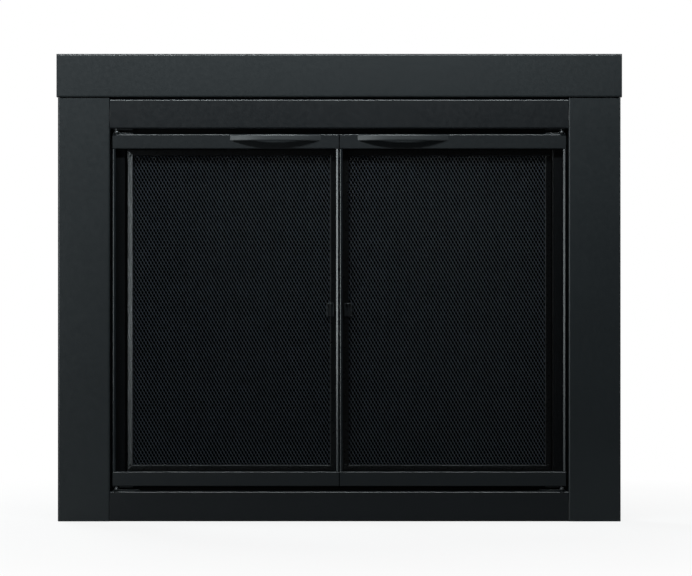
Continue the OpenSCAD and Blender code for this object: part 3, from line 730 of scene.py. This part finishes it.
def woven_coils(name, low, high, s, coils, which):
    """Flattened wire coils side by side, each hooked into the next.

    A half turn rises by half a pitch. In front, a strand crosses the coil from right to left as
    it rises, and behind from left to right. Coil i is in front on half turn j where i + j is
    even. Strands overreach the line between two coils by a quarter of the wire. Each climbs
    over 0.9 of its half turn, and in the rest the wire passes from front to back. Each strand
    end carries a square ring."""
    climb = 0.9
    rows = int(round((high.z - low.z) / (s.pitch_z / 2)))
    step_x, step_z = (high.x - low.x) / coils, (high.z - low.z) / rows
    i = which[:, None]
    k = np.arange(2 * rows)[None, :]
    j, at_end = k // 2, k % 2
    side = np.where((i + j) % 2 == 0, 1, -1)
    reach = step_x / 2 + s.wire / 4
    middles = grid(
        low.x + (i + 0.5) * step_x + side * (1 - 2 * at_end) * reach,
        (low.y + high.y) / 2 - side * s.wire / 2,
        low.z + (j + (1 - climb) / 2 + climb * at_end) * step_z,
    )
    half, slant = s.wire / 2, math.hypot(step_x, step_z) / step_z
    ring = np.array([[half * slant, 0, 0], [0, half, 0], [-half * slant, 0, 0], [0, -half, 0]])
    points = middles[:, :, None, :] + ring
    points[..., 0] = np.clip(points[..., 0], low.x, high.x)
    return outward(mesh_object(name, points, tube_quads(2 * rows, 4, tubes=len(which))))


class FIREDOOR_OT_mesh_frames(bpy.types.Operator):
    """Rolls the mitred frames of both mesh doors"""

    bl_idname = "firedoor.mesh_frames"
    bl_label = "Mesh door frames"

    def execute(self, context):
        members = ("top_rail", "bottom_rail", "outer_stile", "meeting_stile")
        for side in SIDES:
            boxes = {member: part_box(f"{side}_mesh_{member}") for member in members}
            for member in members:
                node = f"{side}_mesh_{member}"
                piece = mitred_member(f"{node}_roll", member, side, boxes, settings("mesh"))
                place(piece, f"{side}_mesh_door", "mesh_frame_paint", node)
        return {"FINISHED"}


def mitred_member(name, member, side, boxes, s):
    """A rounded bar between two mitre planes. The outer stile's face falls back towards its
    outer edge.

    The section is a rounded rectangle across the bar. Each end is cut so that a point at a
    share u of the bar's width from its outer edge lies u times the neighbour's width inwards."""
    low, high = boxes[member]
    stiles = ("outer_stile", "meeting_stile")[:: 1 if side == "left" else -1]
    if member in stiles:
        across, along, neighbours = 0, 2, ("bottom_rail", "top_rail")
    else:
        across, along, neighbours = 2, 0, stiles
    outer_is_high = member in ("top_rail", stiles[1])
    middle = (low + high) / 2
    width, depth = high[across] - low[across], high.y - low.y
    loop = rounded_rect(width, depth, s.edge_radius)
    share_in = 0.5 - loop[:, 0] / width if outer_is_high else 0.5 + loop[:, 0] / width
    if member == "outer_stile":
        front = np.clip(-2 * loop[:, 1] / depth, 0, 1)
        loop[:, 1] += s.stile_slope * (1 - share_in) * front
    cut_low, cut_high = ((boxes[m][1] - boxes[m][0])[along] for m in neighbours)
    points = np.empty((2, len(loop), 3))
    points[..., across] = middle[across] + loop[:, 0]
    points[..., 1] = middle.y + loop[:, 1]
    points[0, :, along] = low[along] + share_in * cut_low
    points[1, :, along] = high[along] - share_in * cut_high
    return bar(name, points)


class FIREDOOR_OT_mesh_rivets(bpy.types.Operator):
    """Sets domed rivets in the corners of the mesh doors, painted over with the frames"""

    bl_idname = "firedoor.mesh_rivets"
    bl_label = "Mesh door rivets"

    def execute(self, context):
        head, shank, rise, top = 1.8 * MM, 1.2 * MM, 0.8 * MM, 0.12
        for side in SIDES:
            node = f"{side}_mesh_rivets"
            low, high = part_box(node)
            half = (high.y - low.y) / 2 - rise
            turns = np.linspace(top, 1, 6) * math.pi / 2
            dome = np.stack([head * np.sin(turns), half + rise * np.cos(turns)], -1)
            neck = np.array([[shank, half]])
            profile = np.concatenate([dome * (1, -1), neck * (1, -1), neck, dome[::-1]])
            corners = [centre(b) for b in shells(node)]
            rivets = lathe(f"{side}_corner_rivets", corners, profile, around=20, axis=1)
            place(rivets, f"{side}_mesh_door", "zinc_steel", node, "mesh_frame_paint")
        return {"FINISHED"}


class FIREDOOR_OT_pulls(bpy.types.Operator):
    """Presses the ribbed pulls of the mesh doors"""

    bl_idname = "firedoor.pulls"
    bl_label = "Mesh door pulls"

    def execute(self, context):
        rib, plate, round_off = 2.2 * MM, 1.5 * MM, 0.7 * MM
        for side in SIDES:
            node = f"{side}_mesh_pull"
            low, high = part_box(node)
            pull = ribbed_pull(f"{side}_ribbed_pull", low, high, rib, plate, round_off)
            # The pulls wear a lighter paint than the frames as painted highlight.
            place(pull, f"{side}_mesh_door", "mesh_frame_paint", node, "pull_paint")
        return {"FINISHED"}


def arch_distance(x, z, half, top):
    """Distance to the edge of an upright arch, positive inside it: half wide to each side,
    open downwards, its round top ending at top."""
    over = z - (top - half)
    return half - np.where(over > 0, np.hypot(x, over), np.abs(x))


def ribbed_pull(name, low, high, rib, plate, round_off):
    """A plate with two round-topped pockets pressed into it, side by side.

    Over (x, z) it stands as high as the plate inside a pocket and as the whole pull outside.
    Both the pockets' rims and the outer edge are rounded by 1 - (1 - d / round_off) squared.
    The outer edge is upright up to a share of the height and rounded above it."""
    upright = 0.72
    wide, deep, tall = high.x - low.x, high.y - low.y, high.z - low.z
    half_pocket = (wide - 3 * rib) / 4
    half_arch, apart = half_pocket + rib, half_pocket + rib / 2
    x = np.linspace(-wide / 2, wide / 2, 61)[None, :]
    side_x = np.abs(x) - apart
    top = tall - half_arch + np.sqrt(np.clip(half_arch**2 - side_x**2, 0, None))
    z = np.linspace(0, 1, 49)[:, None] * top

    def rise(d):
        return 1 - (1 - np.clip(d / round_off, 0, 1)) ** 2

    pocket = arch_distance(side_x, z, half_pocket, tall - rib)
    outer = np.minimum(arch_distance(side_x, z, half_arch, tall), z)
    height = plate + (deep - plate) * rise(-pocket) * (upright + (1 - upright) * rise(outer))
    return closed_sheet(name, (low.x + high.x) / 2 + x, high.y - height, high.y, low.z + z)


class FIREDOOR_OT_spacers(bpy.types.Operator):
    """Turns the domed spacers on the hinge pins"""

    bl_idname = "firedoor.spacers"
    bl_label = "Hinge spacers"

    def execute(self, context):
        pin = 2.5 * MM
        boxes = shells("hinge_balls")
        _, deep, tall = boxes[0][1] - boxes[0][0]
        r = deep / 2
        turns = np.linspace(-1, 1, 17) * math.acos(pin / r)
        belly = np.stack([r * np.cos(turns), tall / 2 * np.sin(turns) / math.sin(turns[-1])], -1)
        spacers = lathe("domed_spacers", [centre(b) for b in boxes], belly, around=32)
        place(spacers, "surround", "pivot_steel", "hinge_balls")
        return {"FINISHED"}


class FIREDOOR_OT_handles(bpy.types.Operator):
    """Makes both bowed handles"""

    bl_idname = "firedoor.handles"
    bl_label = "Handles"

    def execute(self, context):
        thick = 3 * MM
        for side in SIDES:
            node = f"{side}_handle"
            low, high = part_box(node)
            feet = [centre(b, y=high.y) for b in shells(f"{node}_screws")]
            for piece in (
                bowed_strip(f"{side}_bow_handle", low, high, thick, settings("handle")),
                crisp(lathe(f"{node}_posts", feet, POST * MM, around=32, axis=1)),
            ):
                # The handles wear a lighter coat than the rails as painted highlight.
                body, dress = f"{side}_glass_door", "handle_powder_coat"
                place(piece, body, "door_powder_coat", node, dress)
        return {"FINISHED"}


# A handle's post, in millimetres: radius, and distance from the rail's face.
POST = np.array([
    (0.8, 0), (4.7, 0), (4.7, -0.5), (4.3, -0.9), (4.1, -1.3), (4.1, -5.0), (0.8, -5.0),
])


def bowed_strip(name, low, high, thick, s):
    """A strip with quarter-ellipse corners carried along a shallow arc, its ends cut off flush
    with the rail.

    The arc through both feet and the middle has radius c * c / (8 b) + b / 2 for the chord c and
    the bow b. A point at turn t and depth d stands at middle + (R - d) * (sin t, -cos t)."""
    chord, bow = high.x - low.x, high.y - low.y
    outside = chord * chord / (8 * bow) + bow / 2
    reach = math.asin(chord / 2 / outside)
    turns = np.linspace(-reach, reach, s.stations)[:, None]
    loop = rounded_rect(thick, (high.z - low.z) / s.edge_stretch, s.edge_radius)
    r = outside - thick / 2 + loop[:, 0]
    return bar(name, grid(
        (low.x + high.x) / 2 + r * np.sin(turns),
        np.minimum(low.y + outside - r * np.cos(turns), high.y),
        (low.z + high.z) / 2 + loop[:, 1] * s.edge_stretch,
    ))


class FIREDOOR_OT_screws(bpy.types.Operator):
    """Cuts the hexagon-headed screws of the panels and the handles"""

    bl_idname = "firedoor.screws"
    bl_label = "Screws"

    def execute(self, context):
        tall = 2.0 * MM
        riders = {"frame_screws": "surround"}
        riders.update({f"{side}_handle_screws": f"{side}_glass_door" for side in SIDES})
        for node, body in riders.items():
            boxes = shells(node)
            wide, length, _ = boxes[0][1] - boxes[0][0]
            radii, heights = hexagon_screw(wide / 2, length, tall)
            centres = [centre(b, y=b[1].y) for b in boxes]
            made = turned(f"{node}_cut", centres, radii, -heights, axis=1)
            place(crisp(made, degrees=30.0), body, "zinc_steel", node)
        return {"FINISHED"}


def hexagon_screw(head, length, tall):
    """Radii and heights of a hexagon head on a washer, then the thread, down from the top.

    A hexagon's radius at turn a is corner * cos 30 / cos(a mod 60 - 30), in degrees."""
    around, shank, plain = 24, 0.58 * head, 0.1 * MM
    pitch, depth = 1.3 * MM, 0.18 * shank
    a = np.arange(around) * 2 * math.pi / around
    hexagon = math.cos(math.pi / 6) / np.cos(a % (math.pi / 3) - math.pi / 6)
    ring = np.ones(around)
    rows = [
        (0.10, 0.30, ring), (0.40, 0.28, ring), (0.50, 0.0, ring), (0.70, 0.0, hexagon),
        (0.80, 0.08, hexagon), (0.80, 0.66, hexagon), (0.96, 0.72, ring), (1.0, 0.82, ring),
        (1.0, 1.0, ring), (0.6, 1.0, ring),
    ]
    radii = np.stack([head * r * shape for r, _, shape in rows])
    heights = np.array([tall * h for _, h, _ in rows])
    worm, along = thread(shank, length - tall - plain, pitch, depth, around)
    return np.concatenate([radii, worm]), np.concatenate([heights, tall + plain + along])


class FIREDOOR_OT_pins(bpy.types.Operator):
    """Turns the hinge pins and the mesh doors' collared pins"""

    bl_idname = "firedoor.pins"
    bl_label = "Pins"

    def execute(self, context):
        middle = (CAD_BOX[0].z + CAD_BOX[1].z) / 2
        for node, shape in PIN_SHAPES.items():
            for part, above in (("low", False), ("high", True)):
                boxes = [b for b in shells(node) if (b[0].z > middle) == above]
                tall = (boxes[0][1].z - boxes[0][0].z) / MM
                profile = np.array([(r, h if h >= 0 else tall + h) for r, h in shape]) * MM
                if above:
                    profile[:, 1] *= -1
                centres = [centre(b, z=b[above].z) for b in boxes]
                pins = lathe(f"{node}_{part}", centres, profile, around=28)
                place(crisp(pins, degrees=30.0), "surround", "pivot_steel", node)
        return {"FINISHED"}


# Radius and height of the pins in millimetres, from the head. A height below 0 counts back
# from the tip.
PIN_SHAPES = {
    "hinge_pins": [
        (0.3, 0), (3.9, 0), (4.5, 0.5), (4.5, 1.7), (4.2, 2.0), (2.5, 2.0), (2.5, -0.7),
        (1.8, -0.01), (0.3, -0.01),
    ],
    "mesh_door_pins": [
        (0.3, 0), (2.5, 0), (3.0, 0.4), (3.0, 1.5), (1.5, 1.5), (1.5, 3.1), (2.5, 3.1),
        (2.8, 3.4), (2.8, 5.2), (2.5, 5.5), (1.5, 5.5), (1.5, -0.5), (1.0, -0.01), (0.3, -0.01),
    ],
}


class FIREDOOR_OT_jacks(bpy.types.Operator):
    """Cuts the threaded jack screws with their wings, and presses the jack pads"""

    bl_idname = "firedoor.jacks"
    bl_label = "Lintel jacks"

    def execute(self, context):
        rod, pitch, depth = 4 * MM, 1.25 * MM, 0.6 * MM
        for side in SIDES:
            body, node = f"{side}_lintel_jack", f"{side}_jack_screw"
            box = low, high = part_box(node)
            radii, heights = thread(rod, high.z - low.z, pitch, depth, around=28)
            for piece in (
                turned(f"{side}_jack_rod", [centre(box, z=high.z)], blunt(radii), -heights),
                lathe(f"{side}_jack_hub", [centre(box, z=low.z)], HUB * MM, around=32),
                wing(f"{side}_jack_wing_near", box, 1),
                wing(f"{side}_jack_wing_far", box, -1),
            ):
                place(crisp(piece, degrees=35.0), body, "zinc_steel", node)
            node = f"{side}_jack_pad"
            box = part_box(node)
            pad = lathe(f"{side}_jack_foot", [centre(box, z=box[0].z)], PAD * MM, around=64)
            place(crisp(pad, degrees=35.0), body, "frame_paint", node)
        return {"FINISHED"}


# Radius and height in millimetres: a jack screw's hub, and a pad with two grooves in its top.
HUB = np.array([
    (4.2, 0), (5.8, 0), (6.6, 0.5), (7.0, 1.4), (6.4, 9.4), (5.6, 10.6), (4.2, 11),
])
PAD = np.array([
    (0.5, 0), (12.8, 0), (13.6, 0.4), (14.0, 1.1), (14.0, 2.9), (13.6, 3.6), (12.8, 4.0),
    (11.4, 4.0), (11.0, 3.4), (10.2, 3.4), (9.8, 4.0), (7.4, 4.0), (7.0, 3.4), (6.2, 3.4),
    (5.8, 4.0), (0.5, 4.0),
])


def blunt(radii):
    """The thread's radii with a chamfered top end under the pad."""
    made = radii.copy()
    made[0] *= 0.2
    made[1] *= 0.8
    return made


def wing(name, box, sign):
    """One wing of a jack screw: a plate 3 mm thick whose upper edge rises outwards.

    At a share u from the hub to the tip it reaches from tall * (0.06 + 0.25 u^3) to
    tall * (0.7 + 0.3 u), and its height shrinks about its middle as sqrt(1 - u^6). At a share
    v from the middle to an edge its thickness is sqrt((1 - 0.8 v^6) (1 - 0.6 u^8)) of 3 mm."""
    tall, hub, half = 10 * MM, 5 * MM, 1.5 * MM
    x, y, _ = centre(box)
    u = np.linspace(0, 0.999, 21)[None, :]
    v = np.linspace(-1, 1, 13)[:, None]
    bottom, top = tall * (0.06 + 0.25 * u**3), tall * (0.7 + 0.3 * u)
    z = box[0].z + (bottom + top) / 2 + v * (top - bottom) / 2 * np.sqrt(1 - u**6)
    thick = half * np.sqrt((1 - 0.8 * v**6) * (1 - 0.6 * u**8))
    along = x + sign * (hub + (box[1].x - x - hub) * u)
    return closed_sheet(name, along, y - thick, y + thick, z)


class FIREDOOR_OT_magnets(bpy.types.Operator):
    """Moulds the magnets' housings and sets their pole plates"""

    bl_idname = "firedoor.magnets"
    bl_label = "Magnetic catches"

    def execute(self, context):
        proud, inset, deep, thick = 0.4 * MM, 2.5 * MM, 3 * MM, 1.4 * MM
        lower, upper = -2.6 * MM, 1.2 * MM
        for node in ("glass_door_magnets", "mesh_door_magnets"):
            for side, (low, high) in zip(SIDES, shells(node)):
                face = low + Vector((0, proud, 0))
                name = f"{side}_{node}"
                housing = block(f"{name}_housing", face, high, corner=1.6 * MM, edge=0.8 * MM)
                place(housing, "surround", "magnet_housing", node)
                for k, rise in enumerate((lower, upper)):
                    z = (low.z + high.z) / 2 + rise
                    start = (low.x + inset, low.y, z)
                    end = (high.x - inset, low.y + deep, z + thick)
                    pole = f"{name}_pole_{k + 1}"
                    plate = block(pole, start, end, corner=0.4 * MM, edge=0.2 * MM)
                    place(plate, "surround", "zinc_steel", node)
        return {"FINISHED"}


class FIREDOOR_OT_stage(bpy.types.Operator):
    """Sets the floor, the dark card of painted shade behind the doors, the lamps and the camera"""

    bl_idname = "firedoor.stage"
    bl_label = "Stage"

    def execute(self, context):
        s = settings("stage")
        studio_world(s.room_light)
        pale_floor(s.floor, s.floor_radius)
        firebox(s.firebox)
        lamps(s)
        camera(s)
        context.scene.view_settings.view_transform = "Standard"
        return {"FINISHED"}


def studio_world(room_light):
    """White to the camera and through glass. Mirror rays see white behind the door and a
    dim room in front of it, and everything else is lit by the plain room light."""
    dim = 0.008
    world = bpy.data.worlds.new("studio")
    bpy.context.scene.world = world
    world.use_nodes = True
    sky = Nodes(world.node_tree)
    path = sky.node("ShaderNodeLightPath")
    split = sky.node("ShaderNodeSeparateXYZ")
    sky.link(sky.node("ShaderNodeTexCoord").outputs["Generated"], split.inputs[0])
    soft = sky.node("ShaderNodeMix", A=room_light)
    sky.link(path.outputs["Is Glossy Ray"], soft.inputs["Factor"])
    sky.link(sky.spread(split.outputs["Y"], dim, 1.0, 0.1, 0.9), soft.inputs["B"])
    strength = sky.node("ShaderNodeMix", B=1.0)
    sky.link(sky.seen_ray(), strength.inputs["Factor"])
    sky.link(soft.outputs["Result"], strength.inputs["A"])
    shade = sky.tree.nodes["Background"]
    sky.link(strength.outputs["Result"], shade.inputs["Strength"])
    fill(shade, {"Color": (1.0, 1.0, 1.0, 1.0)})


def pale_floor(rgb, radius):
    """A round pale floor under the door. The camera sees it, also through glass, fade into
    the white backdrop with distance. It throws little light back on the door."""
    rings, around = 12, 96
    thrown_back, near, least_white = 0.15, 0.5, 0.86
    hole, border = 0.02, 0.05
    r = np.linspace(hole, radius, rings)[:, None]
    a = np.linspace(0, 2 * math.pi, around, endpoint=False)[None, :]
    points = grid(r * np.cos(a), r * np.sin(a), CAD_BOX[0].z)
    floor = mesh_object("floor", points, tube_quads(rings, around, caps=False), smooth=False)
    f = Finish("floor")
    seen = f.seen_ray()
    f.tint(seen, scaled(rgb, thrown_back), rgb)
    f.set(Roughness=0.9)
    out_from = f.node("ShaderNodeVectorMath", "LENGTH")
    f.link(f.coords, out_from.inputs[0])
    fade = f.spread(out_from.outputs["Value"], least_white, 1.0, near, radius - border)
    white = f.node("ShaderNodeEmission", Strength=1.0)
    f.mixed(f.maths("MULTIPLY", seen, fade), f.shader, white)
    floor.data.materials.append(f.material)


def firebox(rgb):
    """A flat dark card close behind the inner frame, as painted shade for the hearth's space
    behind the doors. It shows only from the front, inside the frame's opening, so that the sides
    and the back of the door stay clear."""
    low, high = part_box("inner_frame_left")
    margin, gap = 6 * MM, 0.2 * MM
    x, y = -low.x - margin, high.y + gap
    z0, z1 = low.z + margin, high.z - margin
    corners = [(-x, y, z0), (x, y, z0), (x, y, z1), (-x, y, z1)]
    card = mesh_object("firebox", corners, [[0, 1, 2, 3]], smooth=False)
    f = Finish("firebox")
    f.set(Base_Color=(*rgb, 1.0), Roughness=1.0, Specular_IOR_Level=0.0)
    shadow = f.node("ShaderNodeLightPath").outputs["Is Shadow Ray"]
    behind = f.node("ShaderNodeNewGeometry").outputs["Backfacing"]
    f.mixed(f.maths("MAXIMUM", shadow, behind), f.shader, f.node("ShaderNodeBsdfTransparent"))
    card.data.materials.append(f.material)


# Where each lamp stands, where it is aimed, and its width and height.
LAMPS = {
    "crest": ((0.0, -0.45, 1.7), (0.0, 0.0, 0.5), (1.7, 0.1)),
    "key": ((-0.1, -1.2, 1.65), (0.0, 0.0, 1.65), (1.7, 0.12)),
    "side": ((-1.65, -2.3, 0.5), (-0.3, 0.0, 1.8), (0.35, 0.8)),
    "edge": ((-1.5, -1.2, 0.6), (-0.3, 0.0, 1.4), (0.25, 0.9)),
    "back": ((-1.1, 1.5, 1.5), (0.0, 0.0, 0.4), (0.8, 0.8)),
    "right": ((2.3, 0.3, 1.0), (0.4, 0.1, 0.4), (0.5, 0.9)),
}


def lamps(s):
    """Two long lamps above the front, which draw the bright lines on the upper edges, two
    tall ones on the left, and two broad ones, which show the shape of the back and the right."""
    for name, (stands, aim, size) in LAMPS.items():
        data = bpy.data.lights.new(name, "AREA")
        data.shape = "RECTANGLE"
        data.size, data.size_y = size
        data.energy = getattr(s, f"{name}_power")
        data.color = s.lamp_tint
        lamp = linked(name, data)
        lamp.location = stands
        lamp.rotation_euler = (Vector(aim) - Vector(stands)).to_track_quat("-Z", "Y").to_euler()


def camera(s):
    """A level camera whose picture centre is set by the object's column and row."""
    picture_w, picture_h = 692, 576
    face_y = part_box("left_side_panel")[0].y
    data = bpy.data.cameras.new("camera")
    data.sensor_width = 36.0
    data.lens = data.sensor_width * s.camera_distance / (picture_w * s.pixel)
    data.clip_end = 100.0
    obj = linked("camera", data)
    obj.location = (
        (picture_w / 2 - s.object_x) * s.pixel,
        face_y - s.camera_distance,
        (s.hearth_row - picture_h / 2) * s.pixel,
    )
    obj.rotation_euler = (math.radians(90), 0, 0)
    bpy.context.scene.camera = obj


class FIREDOOR_PT_panel(bpy.types.Panel):
    """Lists the sizes, colours and pieces of the fireplace door."""

    bl_label = "Fireplace Glass Door"
    bl_space_type = "VIEW_3D"
    bl_region_type = "UI"
    bl_category = "Fireplace"

    def draw(self, context):
        layout = self.layout
        for group in GROUPS:
            box = layout.box()
            box.label(text=group.capitalize())
            for key in settings(group).__annotations__:
                box.prop(settings(group), key)
        for operator in OPERATORS:
            layout.operator(operator.bl_idname)


GROUPS = {
    "finish": FIREDOOR_PG_finish,
    "mesh": FIREDOOR_PG_mesh,
    "handle": FIREDOOR_PG_handle,
    "stage": FIREDOOR_PG_stage,
}
OPERATORS = (
    FIREDOOR_OT_stage,
    FIREDOOR_OT_finish_frame,
    FIREDOOR_OT_rolled_edges,
    FIREDOOR_OT_stiles,
    FIREDOOR_OT_woven_mesh,
    FIREDOOR_OT_mesh_frames,
    FIREDOOR_OT_mesh_rivets,
    FIREDOOR_OT_pulls,
    FIREDOOR_OT_spacers,
    FIREDOOR_OT_handles,
    FIREDOOR_OT_screws,
    FIREDOOR_OT_pins,
    FIREDOOR_OT_jacks,
    FIREDOOR_OT_magnets,
)


def register():
    for cls in (*GROUPS.values(), *OPERATORS, FIREDOOR_PT_panel):
        bpy.utils.register_class(cls)
    for name, cls in GROUPS.items():
        setattr(bpy.types.Scene, "firedoor_" + name, PointerProperty(type=cls))


def unregister():
    for name in GROUPS:
        delattr(bpy.types.Scene, "firedoor_" + name)
    for cls in reversed((*GROUPS.values(), *OPERATORS, FIREDOOR_PT_panel)):
        bpy.utils.unregister_class(cls)


def main():
    register()
    for operator in OPERATORS:
        group, call = operator.bl_idname.split(".")
        getattr(getattr(bpy.ops, group), call)()


if __name__ == "__main__":
    main()
